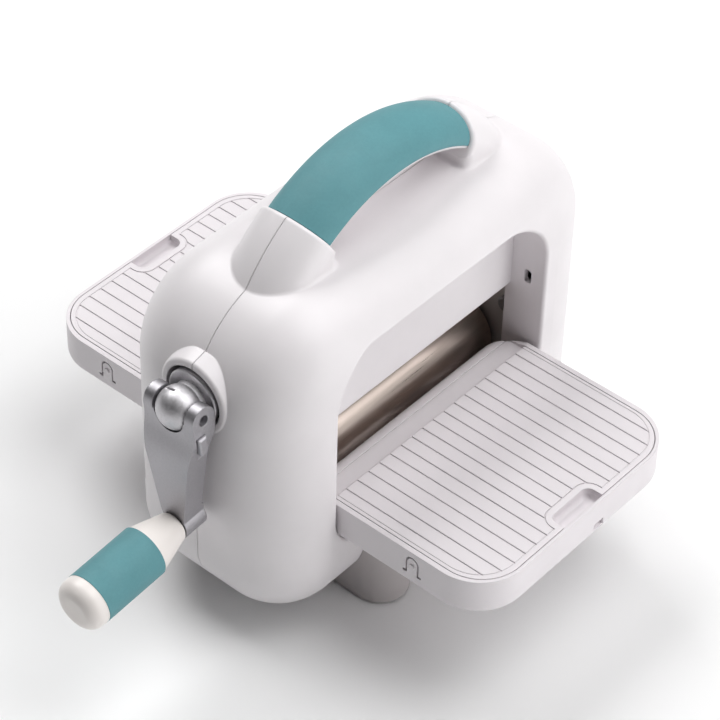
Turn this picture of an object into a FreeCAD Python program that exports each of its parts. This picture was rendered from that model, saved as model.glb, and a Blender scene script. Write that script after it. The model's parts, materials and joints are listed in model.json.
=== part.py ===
import FreeCAD, Part
import math
import os
import re
import Sketcher
from FreeCAD import Placement, Rotation, Vector

doc = FreeCAD.newDocument("die_cutting_machine")

# Driving dimensions in millimetres and degrees.
# X runs along the rollers with the crank at the negative end, Y runs through the feed, Z is up,
# and the origin lies on the floor under the middle of the trays.
SIZES = [
    ("body_left", 92.5, "reach of the housing to the crank side"),
    ("body_right", 97.0, "reach of the housing to the far side"),
    ("body_half_depth", 43.8, "half of the housing's depth"),
    ("body_bottom", 6.0, "height of the housing's underside"),
    ("body_top", 151.5, "height of the housing's top"),
    ("top_corner", 40.0, "radius of the upper corner at the crank end in front view"),
    ("far_corner", 35.0, "radius of the upper corner at the far end in front view"),
    ("bottom_corner", 30.0, "radius of the lower corners in front view"),
    ("edge_round", 28.0, "rounding of the front and rear outlines"),
    ("shell_wall", 3.0, "wall of the two shells"),
    ("seam_gap", 0.24, "gap between the two shells"),
    ("liner", 2.5, "wall round the window recess"),
    ("window_gap", 1.5, "room round a folded tray"),
    ("recess_gap", 0.8, "room behind a folded tray"),
    ("lintel_rise", 24.4, "height of the feed mouth above the tray"),
    ("tray_top", 64.0, "height of the tray's top face"),
    ("tray_width", 120.0, "width of a tray"),
    ("tray_thick", 16.2, "thickness of a tray"),
    ("tray_inner", 23.8, "distance of the tray's inner end from the seam plane"),
    ("tray_outer", 114.9, "distance of the tray's outer end from the seam plane"),
    ("tray_outer_corner", 21.0, "plan radius of the tray's outer corners"),
    ("tray_inner_corner", 16.0, "plan radius of the tray's inner corners"),
    ("tray_wall", 2.2, "rim and side wall of the tray"),
    ("tray_end_wall", 1.3, "rim at the tray's outer end"),
    ("tray_floor", 2.2, "floor of the tray"),
    ("tray_edge", 1.8, "rounding of the tray's lower edge"),
    ("tray_lip_round", 5.0, "rounding of the tray's inner lip"),
    ("ledge", 1.8, "width of the ledge that carries the lid"),
    ("lid_thick", 2.4, "thickness of the lid"),
    ("lid_gap", 0.35, "gap round the lid"),
    ("lid_inner", 38.9, "distance of the lid's inner edge from the seam plane"),
    ("band_drop", 2.2, "drop of the deck beside the lid"),
    ("lip_line", 30.0, "distance of the lip line from the seam plane"),
    ("groove_pitch", 6.41, "pitch of the lid's grooves"),
    ("groove_wide", 0.8, "width of a groove"),
    ("groove_deep", 0.5, "depth of a groove"),
    ("groove_half_count", 8.0, "grooves on each side of the middle one"),
    ("border_wide", 0.45, "width of the shallow line round the grooves"),
    ("border_deep", 0.2, "depth of the shallow line round the grooves"),
    ("groove_margin", 3.8, "border between the grooves and the tray's edge"),
    ("pocket_wide", 23.6, "width of the finger pocket"),
    ("pocket_long", 7.6, "length of the finger pocket from the rim"),
    ("pocket_deep", 4.6, "depth of the finger pocket"),
    ("pocket_corner", 3.6, "corner radius of the finger pocket"),
    ("pocket_round", 1.8, "rounding of the finger pocket's floor"),
    ("ridge_wide", 3.1, "plain border round the finger pocket"),
    ("notch_place", 8.9, "distance of the notch in the tray's end from the middle"),
    ("notch_wide", 5.8, "width of the notch in the tray's end"),
    ("notch_tall", 3.1, "height of the notch in the tray's end"),
    ("notch_drop", 11.1, "depth of the notch's top below the tray's top face"),
    ("notch_deep", 1.6, "depth of the notch in the tray's end"),
    ("hinge_depth", 10.05, "depth of the hinge axis below the tray's top face"),
    ("hinge_pin_radius", 2.4, "radius of a hinge pin"),
    ("hinge_pin_seat", 7.5, "length of a hinge pin inside the tray"),
    ("hinge_clear", 0.08, "radial clearance of a hinge pin in the housing"),
    ("tab_reach", 79.7, "distance of the snap tab from the seam plane"),
    ("tab_drop", 11.5, "depth of the snap tab's root below the tray's top face"),
    ("tab_half", 2.4, "half width of the snap tab"),
    ("tab_tall", 8.2, "height of the snap tab"),
    ("tab_slot", 0.75, "width of the slot round the snap tab"),
    ("tab_serif", 1.3, "length of the slot's turned-out ends"),
    ("tab_bead", 0.6, "height of the bead on the snap tab"),
    ("latch_wide", 3.4, "width of the latch slot in the housing"),
    ("latch_tall", 6.4, "height of the latch slot in the housing"),
    ("latch_round", 1.3, "corner radius of the latch slot"),
    ("roller_radius", 16.5, "radius of both rollers"),
    ("roller_half", 65.5, "half length of a roller's face"),
    ("nip_gap", 12.0, "gap between the rollers"),
    ("journal_radius", 8.0, "radius of a roller journal"),
    ("running_clear", 0.05, "radial clearance of shafts in their bushes"),
    ("seat_clear", 0.02, "radial clearance of fixed pieces in their seats"),
    ("bush_wall", 3.0, "wall of a bush"),
    ("bush_flange", 2.0, "thickness of a bush flange"),
    ("bush_lip", 1.5, "height of a bush flange over its barrel"),
    ("plate_in", 68.0, "distance of a side plate's inner face from the middle"),
    ("plate_thick", 5.0, "thickness of a side plate"),
    ("plate_half", 27.0, "half depth of a side plate"),
    ("plate_bottom", 13.0, "height of a side plate's lower edge"),
    ("plate_head", 17.0, "height of a side plate above the crank axis"),
    ("plate_corner", 9.0, "corner radius of a side plate"),
    ("gear_room", 1.5, "gap between a side plate and the gears"),
    ("gear_face", 8.0, "face width of the gears"),
    ("gear_bore_flat", 6.0, "radius of the gear seats on the shafts"),
    ("clip_thick", 1.4, "thickness of a shaft clip"),
    ("clip_rise", 2.0, "height of a shaft clip over its seat"),
    ("crank_rise", 24.0, "height of the crank axis above the upper roller's axis"),
    ("backlash", 0.3, "play between gear teeth"),
    ("tie_radius", 4.0, "radius of a tie rod"),
    ("tie_high_y", 8.8, "distance of the upper tie rods from the recess plane"),
    ("tie_high_rise", 11.0, "height of the upper tie rods above the crank axis"),
    ("tie_low_y", 7.8, "distance of the lower tie rods from the recess plane"),
    ("tie_low_z", 24.8, "height of the lower tie rods"),
    ("tie_screw_radius", 2.5, "shank radius of a tie rod screw"),
    ("tie_screw_long", 18.0, "shank length of a tie rod screw"),
    ("post_radius", 4.0, "radius of the posts that hold the side plates"),
    ("post_y", 21.5, "distance of the posts from the seam plane"),
    ("post_low_z", 70.0, "height of the lower posts"),
    ("post_high_z", 113.0, "height of the upper posts"),
    ("post_screw_radius", 1.75, "shank radius of a post screw"),
    ("post_screw_long", 13.0, "shank length of a post screw"),
    ("head_over", 1.9, "screw head radius over the shank radius"),
    ("head_tall", 2.4, "height of a screw head"),
    ("shell_screw_radius", 1.75, "shank radius of a shell screw"),
    ("shell_screw_seat", 30.0, "distance of a shell screw's head seat from the seam plane"),
    ("shell_screw_bite", 14.0, "reach of a shell screw past the seam plane"),
    ("tube_radius", 5.0, "radius of the screw tubes in the shells"),
    ("tube_sink", 1.2, "how far a screw tube sinks into the wall beside it"),
    ("ring_front", 0.5, "reach of the crank ring past the housing's end"),
    ("ring_radius", 16.0, "radius of the crank ring at its front"),
    ("ring_flare", 1.8, "growth of the crank ring over its depth"),
    ("ring_edge", 1.4, "rounding of the crank ring's front edge"),
    ("ring_depth", 7.0, "depth of the crank ring"),
    ("ring_hole", 13.3, "radius of the hole in the crank ring"),
    ("flange_front", 0.6, "reach of the hub flange past the crank ring"),
    ("flange_thick", 2.4, "thickness of the hub flange"),
    ("flange_radius", 11.7, "radius of the hub flange"),
    ("ball_reach", 7.4, "reach of the ball's centre past the crank ring"),
    ("ball_radius", 8.7, "radius of the ball"),
    ("ball_flat", 7.7, "distance of the ball's flats from its centre"),
    ("neck_radius", 7.4, "radius of the neck behind the ball"),
    ("neck_clear", 0.6, "room round the neck in the fork"),
    ("slit_wide", 1.0, "width of the slit across the ball's top"),
    ("slit_deep", 1.6, "depth of the slit across the ball's top"),
    ("slit_back", 1.2, "distance of the slit from the ball's centre"),
    ("crank_shaft_radius", 5.0, "radius of the crank shaft"),
    ("crank_angle", 4.3, "angle of the crank at rest, in degrees"),
    ("arm_lean", 4.6, "lean of the crank arm at rest, in degrees"),
    ("fork_half", 12.5, "half width of the fork"),
    ("fork_gap", 8.05, "half of the gap between the fork's cheeks"),
    ("fork_round", 9.3, "radius of the round socket in the fork"),
    ("knuckle_radius", 5.8, "radius of a fork knuckle"),
    ("arm_shoulder", 10.6, "reach of the arm's outer face below the fork"),
    ("shoulder_drop", 22.0, "distance of the arm's shoulder below the fork pin"),
    ("arm_face", 12.2, "reach of the arm's outer face at its foot"),
    ("arm_inner", 1.4, "reach of the arm's inner face at its foot"),
    ("arm_neck", 0.0, "reach of the arm's inner face below the fork"),
    ("arm_back", 2.7, "reach of the arm's inner face above its foot"),
    ("arm_foot_half", 5.4, "half width of the arm near its foot"),
    ("arm_length", 52.1, "distance from the fork pin to the handle's axis"),
    ("arm_end_radius", 6.4, "radius of the arm's end"),
    ("pivot_radius", 2.2, "radius of the fork pin"),
    ("pivot_sink", 2.4, "depth of the fork pin's ends below the cheeks"),
    ("lock_wide", 4.0, "width of the lock slide"),
    ("lock_tall", 7.5, "height of the lock slide"),
    ("lock_start", 6.2, "distance of the lock slide below the fork pin"),
    ("lock_shift", 2.9, "distance of the lock slide's middle from the pin plane"),
    ("lock_travel", 3.0, "travel of the lock slide"),
    ("lock_sink", 1.8, "depth of the lock slide's groove"),
    ("lock_proud", 1.5, "height of the lock slide over the cheek"),
    ("lock_clear", 0.2, "clearance round the lock slide"),
    ("spindle_radius", 3.0, "radius of the handle spindle"),
    ("spindle_clear", 0.08, "radial clearance of the handle on its spindle"),
    ("grip_start", 12.6, "distance of the handle's small end from the fork pin plane"),
    ("cone_end", 28.7, "end of the handle's cone"),
    ("sleeve_end", 58.2, "end of the handle's sleeve"),
    ("cap_end", 66.0, "end of the handle's cap"),
    ("cone_radius", 6.4, "radius of the cone's small end"),
    ("grip_radius", 10.9, "radius of the handle"),
    ("sleeve_wall", 2.4, "wall of the handle's sleeve"),
    ("cap_round", 5.2, "rounding of the handle's cap"),
    ("foot_centre", 33.2, "distance of a foot from the middle"),
    ("foot_half", 12.0, "half width of a foot"),
    ("foot_reach", 54.6, "reach of a foot to the front and rear"),
    ("foot_gap", 0.3, "gap between a foot and the tray above it"),
    ("pad_thick", 2.0, "thickness of a foot pad"),
    ("pad_inset", 2.5, "distance of a pad's edge from the foot's edge"),
    ("pad_sink", 0.8, "depth of a pad's seat in the foot"),
    ("pad_long", 30.0, "length of a pad"),
    ("foot_screw_y", 14.0, "distance of a foot screw from the seam plane"),
    ("foot_screw_radius", 1.75, "shank radius of a foot screw"),
    ("foot_screw_long", 8.0, "shank length of a foot screw"),
    ("arch_x", 4.5, "position of the carry handle's centre along the rollers"),
    ("arch_z", 99.6, "height of the carry handle's centre"),
    ("arch_radius", 73.1, "radius of the carry handle at the grip's lower edge"),
    ("grip_half", 15.0, "half width of the carry grip"),
    ("grip_crown", 10.0, "crown of the carry grip"),
    ("cover_wall", 2.4, "wall of the carry grip's cover"),
    ("cover_clear", 0.1, "gap between the cover and the bar"),
    ("bar_inset", 0.5, "inset of the bar's underside from the grip's edge"),
    ("bar_below", 1.2, "depth of the bar below the grip's lower edge"),
    ("grip_angle", 33.0, "angle of the bosses' faces from the handle's top, in degrees"),
    ("bar_angle", 44.0, "angle of the bar's ends from the handle's top, in degrees"),
    ("boss_angle", 62.0, "angle of the bosses' roots from the handle's top, in degrees"),
    ("boss_over", 2.0, "height of a boss over the grip"),
    ("boss_root", 16.0, "depth of a boss below the grip's lower edge"),
    ("boss_edge", 1.4, "rounding of the boss's face edge"),
    ("boss_skirt", 4.4, "depth of the boss's face below the bar"),
    ("boss_corner", 4.0, "rounding of the boss's upright corners"),
    ("boss_blend", 1.6, "hollow rounding between a boss and the housing"),
    ("window_edge", 1.4, "rounding of the window's edge"),
    ("cover_gap", 0.3, "gap between the cover's end and the boss"),
]

sizes = doc.addObject("Spreadsheet::Sheet", "sizes")
for row, (alias, number, words) in enumerate(SIZES, start=1):
    sizes.set("A%d" % row, words)
    sizes.set("B%d" % row, "%g" % number)
    sizes.setAlias("B%d" % row, alias)
doc.recompute()

# Places and fits that follow from the driving dimensions.
FITS = [
    ("lower_axis", "tray_top - roller_radius"),
    ("upper_axis", "tray_top + nip_gap + roller_radius"),
    ("crank_axis", "tray_top + nip_gap + roller_radius + crank_rise"),
    ("hinge_y", "body_half_depth - tray_thick + hinge_depth"),
    ("hinge_z", "tray_top - hinge_depth"),
    ("recess_y", "body_half_depth - tray_thick - recess_gap"),
    ("tie_high_place", "recess_y - tie_high_y"),
    ("tie_low_place", "recess_y - tie_low_y"),
    ("ring_place", "body_left + ring_front"),
    ("flange_place", "body_left + ring_front + flange_front"),
    ("ball_place", "body_left + ring_front + ball_reach"),
    ("window_half", "tray_width / 2 + window_gap"),
    ("plate_out", "plate_in + plate_thick"),
    ("gear_start", "plate_in + plate_thick + gear_room"),
    ("gear_end", "plate_in + plate_thick + gear_room + gear_face"),
    ("bush_radius", "journal_radius + running_clear + bush_wall"),
    ("crank_bush_radius", "crank_shaft_radius + running_clear + bush_wall"),
    ("pad_top", "pad_thick"),
    ("foot_base", "pad_thick - pad_sink"),
]
fits = doc.addObject("Spreadsheet::Sheet", "fits")
NAMES = set(alias for alias, number, words in SIZES)
FIT_NAMES = set(alias for alias, text in FITS)


def bound(text):
    """Give each named size in an expression the sheet that holds it."""
    def sheet_name(found):
        word = found.group(0)
        if word in NAMES:
            return "sizes." + word
        if word in FIT_NAMES:
            return "fits." + word
        return word
    return re.sub(r"[a-z][a-z_]*[a-z]", sheet_name, text)


for row, (alias, text) in enumerate(FITS, start=1):
    fits.set("A%d" % row, alias)
    fits.set("B%d" % row, "=" + bound(text))
    fits.setAlias("B%d" % row, alias)
doc.recompute()


class Values:
    """The sheets' numbers by name, for the shapes that are not bound objects."""
    def __getattr__(self, alias):
        if alias in FIT_NAMES:
            return float(fits.get(alias))
        return float(sizes.get(alias))


v = Values()
NODES = []


def node(obj, label):
    """Mark an object as one of the machine's pieces."""
    obj.Label = label
    NODES.append(obj)
    return obj


TURN = {
    "X": Rotation(Vector(0, 1, 0), 90),
    "Y": Rotation(Vector(1, 0, 0), -90),
    "Z": Rotation(),
}


def place(obj, x, y, z):
    for axis, text in zip("xyz", (x, y, z)):
        obj.setExpression("Placement.Base." + axis, bound(text))


def box(name, dx, dy, dz, x, y, z):
    obj = doc.addObject("Part::Box", name)
    for prop, text in zip(("Length", "Width", "Height"), (dx, dy, dz)):
        obj.setExpression(prop, bound(text))
    place(obj, x, y, z)
    return obj


def rod(name, radius, length, x, y, z, axis="X"):
    obj = doc.addObject("Part::Cylinder", name)
    obj.setExpression("Radius", bound(radius))
    obj.setExpression("Height", bound(length))
    obj.Placement = Placement(Vector(), TURN[axis])
    place(obj, x, y, z)
    return obj


def fuse(name, *objs):
    obj = doc.addObject("Part::MultiFuse", name)
    obj.Shapes = list(objs)
    return obj


def cut(name, base, *tools):
    obj = doc.addObject("Part::Cut", name)
    obj.Base = base
    obj.Tool = tools[0] if len(tools) == 1 else fuse(name + "_tools", *tools)
    return obj


def common(name, first, second):
    obj = doc.addObject("Part::Common", name)
    obj.Base = first
    obj.Tool = second
    return obj


def feature(name, shape, placement=None):
    obj = doc.addObject("Part::Feature", name)
    obj.Shape = shape
    if placement is not None:
        obj.Placement = placement
    return obj


def plane_of(body, role):
    return [item for item in body.Origin.OriginFeatures if item.Role == role][0]


def closed_profile(sketch, points):
    """A closed polygon whose corners are bound to the sheets, as (axial, radial) texts."""
    count = len(points)
    for i in range(count):
        a = 2 * math.pi * i / count
        b = 2 * math.pi * (i + 1) / count
        start = Vector(50 + 10 * math.cos(a), 50 + 10 * math.sin(a), 0)
        end = Vector(50 + 10 * math.cos(b), 50 + 10 * math.sin(b), 0)
        sketch.addGeometry(Part.LineSegment(start, end))
    for i in range(count):
        sketch.addConstraint(Sketcher.Constraint("Coincident", i, 2, (i + 1) % count, 1))
    for i, (axial, radial) in enumerate(points):
        for kind, text in (("DistanceX", axial), ("DistanceY", radial)):
            index = sketch.addConstraint(Sketcher.Constraint(kind, -1, 1, i, 1, 50.0 + i))
            sketch.setExpression("Constraints[%d]" % index, bound(text))


def turned(name, points, placement=None, at=None):
    """A piece turned about its own X axis from a profile of (axial, radial) corners."""
    body = doc.addObject("PartDesign::Body", name)
    sketch = body.newObject("Sketcher::SketchObject", name + "_profile")
    sketch.AttachmentSupport = [(plane_of(body, "XY_Plane"), "")]
    sketch.MapMode = "FlatFace"
    closed_profile(sketch, points)
    doc.recompute()
    spin = body.newObject("PartDesign::Revolution", name + "_turned")
    spin.Profile = sketch
    spin.ReferenceAxis = (sketch, ["H_Axis"])
    spin.Angle = 360
    doc.recompute()
    if placement is not None:
        body.Placement = placement
    if at is not None:
        place(body, *at)
    return body


# Placements: the crank side looks outward along negative X, so its pieces are drawn along
# their own X axis and turned half way round.
OUTWARD = Rotation(Vector(0, 0, 1), 180)
CRANK_TURN = Rotation(Vector(1, 0, 0), -v.crank_angle)
crank_place = Placement(Vector(0, 0, v.crank_axis), CRANK_TURN)
crank_out = Placement(Vector(0, 0, v.crank_axis), CRANK_TURN.multiply(OUTWARD))
ARM_TURN = CRANK_TURN.multiply(Rotation(Vector(0, 1, 0), -v.arm_lean))
arm_place = Placement(Vector(-v.ball_place, 0, v.crank_axis), ARM_TURN)
grip_place = arm_place.multiply(Placement(Vector(0, 0, -v.arm_length), OUTWARD))


def outline(half, y_low, y_high, r_low, r_high, r_far=None):
    """A plan outline with one corner radius at its low Y end and one, or two, at its high Y end."""
    s = math.sqrt(0.5)
    far = r_high if r_far is None else r_far
    a = Vector(-half + r_low, y_low, 0)
    b = Vector(half - r_low, y_low, 0)
    b_mid = Vector(half - r_low + r_low * s, y_low + r_low - r_low * s, 0)
    c = Vector(half, y_low + r_low, 0)
    d = Vector(half, y_high - far, 0)
    d_mid = Vector(half - far + far * s, y_high - far + far * s, 0)
    e = Vector(half - far, y_high, 0)
    f = Vector(-half + r_high, y_high, 0)
    f_mid = Vector(-half + r_high - r_high * s, y_high - r_high + r_high * s, 0)
    g = Vector(-half, y_high - r_high, 0)
    k = Vector(-half, y_low + r_low, 0)
    k_mid = Vector(-half + r_low - r_low * s, y_low + r_low - r_low * s, 0)
    edges = [
        Part.LineSegment(a, b).toShape(),
        Part.Arc(b, b_mid, c).toShape(),
        Part.LineSegment(c, d).toShape(),
        Part.Arc(d, d_mid, e).toShape(),
        Part.LineSegment(e, f).toShape(),
        Part.Arc(f, f_mid, g).toShape(),
        Part.LineSegment(g, k).toShape(),
        Part.Arc(k, k_mid, a).toShape(),
    ]
    return Part.Wire(edges)


def plan_prism(wire, z_low, z_high):
    face = Part.Face(wire)
    face.translate(Vector(0, 0, z_low))
    return face.extrude(Vector(0, 0, z_high - z_low))


def upright(shape):
    """Stand a plan prism up, so that its Y becomes height and its Z points to the front."""
    turned_shape = shape.copy()
    turned_shape.rotate(Vector(), Vector(1, 0, 0), 90)
    return turned_shape


def block(x0, x1, y0, y1, z0, z1):
    return Part.makeBox(x1 - x0, y1 - y0, z1 - z0, Vector(x0, y0, z0))


def pin_y(radius, x, z, y0, y1):
    return Part.makeCylinder(radius, y1 - y0, Vector(x, y0, z), Vector(0, 1, 0))


def pin_x(radius, y, z, x0, x1):
    return Part.makeCylinder(radius, x1 - x0, Vector(x0, y, z), Vector(1, 0, 0))


def pin_z(radius, x, y, z0, z1):
    return Part.makeCylinder(radius, z1 - z0, Vector(x, y, z0), Vector(0, 0, 1))


# The housing: a tall rounded block, hollowed and split at the seam plane.

def rounded_body(inset):
    middle = (v.body_right - v.body_left) / 2
    half = (v.body_right + v.body_left) / 2 - inset
    depth = v.body_half_depth - inset
    wire = outline(half, v.body_bottom + inset, v.body_top - inset,
                   v.bottom_corner - inset, v.top_corner - inset, v.far_corner - inset)
    solid = upright(plan_prism(wire, -depth, depth))
    rims = [e for e in solid.Edges if abs(e.BoundBox.YMax - e.BoundBox.YMin) < 1e-6]
    solid = solid.makeFillet(v.edge_round - inset, rims)
    solid.translate(Vector(middle, 0, 0))
    return solid


def arch_section(half, crown, below_half, below):
    """The carry handle's section at the top of the arch: a crowned top over a straight lower part."""
    r = v.arch_radius
    ellipse = Part.Ellipse(Vector(0, half, r), Vector(0, 0, r + crown), Vector(0, 0, r))
    dome = Part.ArcOfEllipse(ellipse, 0, math.pi).toShape()
    right = Vector(0, half, r)
    left = Vector(0, -half, r)
    corners = [left]
    if below_half != half:
        corners.append(Vector(0, -below_half, r))
    corners.append(Vector(0, -below_half, r - below))
    corners.append(Vector(0, below_half, r - below))
    if below_half != half:
        corners.append(Vector(0, below_half, r))
    corners.append(right)
    edges = [dome]
    for start, end in zip(corners[:-1], corners[1:]):
        edges.append(Part.LineSegment(start, end).toShape())
    return Part.Face(Part.Wire(edges))


def swung(face, angle_from, angle_to):
    """Swing a section about the arch's centre; a positive angle leans to the far side."""
    start = face.copy()
    start.rotate(Vector(), Vector(0, 1, 0), angle_from)
    solid = start.revolve(Vector(), Vector(0, 1, 0), angle_to - angle_from)
    solid.translate(Vector(v.arch_x, 0, v.arch_z))
    return solid


def boss(side):
    over = v.boss_over
    face = arch_section(v.grip_half + over, v.grip_crown + over, v.grip_half + over, v.boss_root)
    solid = swung(face, v.grip_angle, v.boss_angle)
    lean = math.radians(v.grip_angle)
    near = v.arch_x + (v.arch_radius - v.bar_below - v.boss_skirt) * math.sin(lean)
    solid = solid.common(block(near, 400, -200, 200, -200, 400))
    corners = [e for e in solid.Edges if e.BoundBox.XLength < 1e-5 and e.BoundBox.YLength < 1e-5
               and abs(e.BoundBox.XMin - near) < 1e-5]
    solid = solid.makeFillet(v.boss_corner, corners)
    normal = Vector(math.cos(lean), 0, -math.sin(lean))
    centre = Vector(v.arch_x, 0, v.arch_z)
    rim = []
    for edge in solid.Edges:
        on_face = all(abs((p - centre).dot(normal)) < 1e-4 for p in edge.discretize(5))
        if on_face and "Ellipse" in edge.Curve.TypeId:
            rim.append(edge)
    solid = solid.makeFillet(v.boss_edge, rim)
    if side < 0:
        solid = solid.mirror(centre, Vector(1, 0, 0))
    return solid


def shared_edges(whole, first, second, beyond=0.0):
    """The edges of a solid that lie on the faces of two others, farther from the seam than a limit."""
    found = []
    for edge in whole.Edges:
        points = edge.discretize(5)
        if min(abs(p.y) for p in points) < beyond:
            continue
        if all(first.distToShape(Part.Vertex(p))[0] < 1e-4 for p in points):
            if all(second.distToShape(Part.Vertex(p))[0] < 1e-4 for p in points):
                found.append(edge)
    return found


def bar_shape(grow, angle):
    wall = v.cover_wall + v.cover_clear - grow
    face = arch_section(v.grip_half - wall, v.grip_crown - wall, v.grip_half - v.bar_inset + grow,
                        v.bar_below + grow)
    return swung(face, -angle, angle)


def window_prism(grow, y0, y1):
    half = v.window_half + grow
    low = v.hinge_z - (v.hinge_y - v.tray_inner) - v.window_gap - grow
    high = v.hinge_z + (v.tray_outer - v.hinge_y) + v.window_gap + grow
    wire = outline(half, low, high, v.tray_inner_corner + v.window_gap + grow,
                   v.tray_outer_corner + v.window_gap + grow)
    return upright(plan_prism(wire, y0, y1))


def shell_cavity():
    """The hollow inside the housing, less what the shells carry inside."""
    hollow = rounded_body(v.shell_wall)
    back = v.recess_y - v.liner
    keep = [window_prism(v.liner, back, v.body_half_depth)]
    keep.append(window_prism(v.liner, -v.body_half_depth, -back))
    for z in (v.post_low_z, v.post_high_z):
        for y in (-v.post_y, v.post_y):
            keep.append(pin_x(v.post_radius, y, z, -v.body_left, -v.plate_out))
            keep.append(pin_x(v.post_radius, y, z, v.plate_out, v.body_right))
    for x, z in SHELL_SCREWS:
        keep.append(pin_y(v.tube_radius, x, z, -v.body_half_depth, v.body_half_depth))
    keep.append(pin_x(v.ring_radius + v.ring_flare, 0, v.crank_axis, -v.body_left,
                      -v.ring_place + v.ring_depth))
    for item in keep:
        hollow = hollow.cut(item)
    return hollow


# The four screws that hold the shells together, as places in front view.
SHELL_SCREWS = [
    (-(v.body_left + v.gear_start) / 2, v.tray_top - 14.0),
    (v.body_right - v.shell_wall - v.tube_radius + v.tube_sink, (v.lower_axis + v.upper_axis) / 2),
    (0.0, v.body_top - v.shell_wall - 1.5 - v.tube_radius),
    (0.0, v.body_bottom + v.shell_wall + v.tube_radius - v.tube_sink),
]
head = v.shell_screw_radius + v.head_over


def shell_holes():
    deep = v.body_half_depth + 5
    tools = []
    for side in (-1, 1):
        low, high = sorted((side * deep, side * (v.recess_y - v.liner - 1)))
        throat = window_prism(0, -high, -low)
        lid_line = v.tray_top + v.lintel_rise
        throat = throat.cut(block(-200, 200, -100, 100, lid_line, 300))
        tools.append(throat)
        for end in (-1, 1):
            x0, x1 = sorted((end * v.tray_width / 2, end * (v.window_half + v.liner + 1)))
            tools.append(pin_x(v.hinge_pin_radius + v.hinge_clear, side * v.hinge_y, v.hinge_z, x0, x1))
            latch_y = v.hinge_y - (v.hinge_depth - v.tab_drop + v.tab_tall / 2)
            latch_z = v.hinge_z + v.tab_reach - v.hinge_y
            y0, y1 = sorted((side * (latch_y - v.latch_wide / 2), side * (latch_y + v.latch_wide / 2)))
            latch = block(x0, x1, y0, y1, latch_z - v.latch_tall / 2, latch_z + v.latch_tall / 2)
            along = [e for e in latch.Edges if e.BoundBox.YLength < 1e-6 and e.BoundBox.ZLength < 1e-6]
            tools.append(latch.makeFillet(v.latch_round, along))
    tools.append(pin_x(v.ring_hole, 0, v.crank_axis, -v.ring_place - 5, -v.ring_place + v.ring_depth + 5))
    for x, z in SHELL_SCREWS:
        tools.append(pin_y(v.shell_screw_radius + v.seat_clear, x, z, -v.shell_screw_bite - 0.5, deep))
        tools.append(pin_y(head + 0.3, x, z, v.shell_screw_seat, deep))
    for z in (v.post_low_z, v.post_high_z):
        for y in (-v.post_y, v.post_y):
            reach = v.plate_in + v.post_screw_long + 0.5
            tools.append(pin_x(v.post_screw_radius + v.seat_clear, y, z, -reach, -v.plate_in))
            tools.append(pin_x(v.post_screw_radius + v.seat_clear, y, z, v.plate_in, reach))
    for x in (-v.foot_centre, v.foot_centre):
        for y in (-v.foot_screw_y, v.foot_screw_y):
            tools.append(pin_z(v.foot_screw_radius + v.seat_clear, x, y, 0, v.foot_base + 14))
    tools.append(bar_shape(v.seat_clear + 0.1, v.bar_angle + 0.15))
    return tools


ring = Part.makeCone(v.ring_radius, v.ring_radius + v.ring_flare, v.ring_depth,
                     Vector(-v.ring_place, 0, v.crank_axis), Vector(1, 0, 0))
ring_rim = [e for e in ring.Edges if e.BoundBox.XLength < 1e-6 and abs(e.BoundBox.XMin + v.ring_place) < 1e-6]
ring = ring.makeFillet(v.ring_edge, ring_rim)
plain_body = rounded_body(0)
housing = plain_body
for side in (-1, 1):
    lump = boss(side)
    housing = housing.fuse(lump).removeSplitter()
    housing = housing.makeFillet(v.boss_blend, shared_edges(housing, plain_body, lump))
housing = housing.fuse(ring).removeSplitter()
for side in (-1, 1):
    low, high = sorted((side * (v.body_half_depth + 5), side * v.recess_y))
    opening = window_prism(0, -high, -low)
    housing = housing.cut(opening)
    rims = shared_edges(housing, opening, opening, v.recess_y + v.liner)
    housing = housing.makeFillet(v.window_edge, [e for e in rims if e.CenterOfMass.y * side > 0])
housing = housing.cut(shell_cavity())
for tool in shell_holes():
    housing = housing.cut(tool)
far = 300
front_half = housing.common(block(-far, far, -far, -v.seam_gap / 2, -far, far))
rear_half = housing.common(block(-far, far, v.seam_gap / 2, far, -far, far))
node(feature("front_shell", front_half), "front_shell")
node(feature("rear_shell", rear_half), "rear_shell")

# The carry handle: a white bar clamped in the bosses, with a crowned cover over it.
node(feature("carry_bar", bar_shape(0, v.bar_angle)), "carry_handle_bar")
cover_end = v.grip_angle - math.degrees(v.cover_gap / (v.arch_radius + v.grip_crown))
r = v.arch_radius
outer_dome = Part.Ellipse(Vector(0, v.grip_half, r), Vector(0, 0, r + v.grip_crown), Vector(0, 0, r))
inner_half = v.grip_half - v.cover_wall
inner_crown = v.grip_crown - v.cover_wall
inner_dome = Part.Ellipse(Vector(0, inner_half, r), Vector(0, 0, r + inner_crown), Vector(0, 0, r))
cover_edges = [
    Part.ArcOfEllipse(outer_dome, 0, math.pi).toShape(),
    Part.LineSegment(Vector(0, -v.grip_half, r), Vector(0, -inner_half, r)).toShape(),
    Part.ArcOfEllipse(inner_dome, 0, math.pi).toShape(),
    Part.LineSegment(Vector(0, inner_half, r), Vector(0, v.grip_half, r)).toShape(),
]
cover_face = Part.Face(Part.Wire(cover_edges))
node(feature("carry_cover", swung(cover_face, -cover_end, cover_end)), "carry_grip_cover")

# The feet: bars under the housing whose ends rise to carry the open trays.

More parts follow.
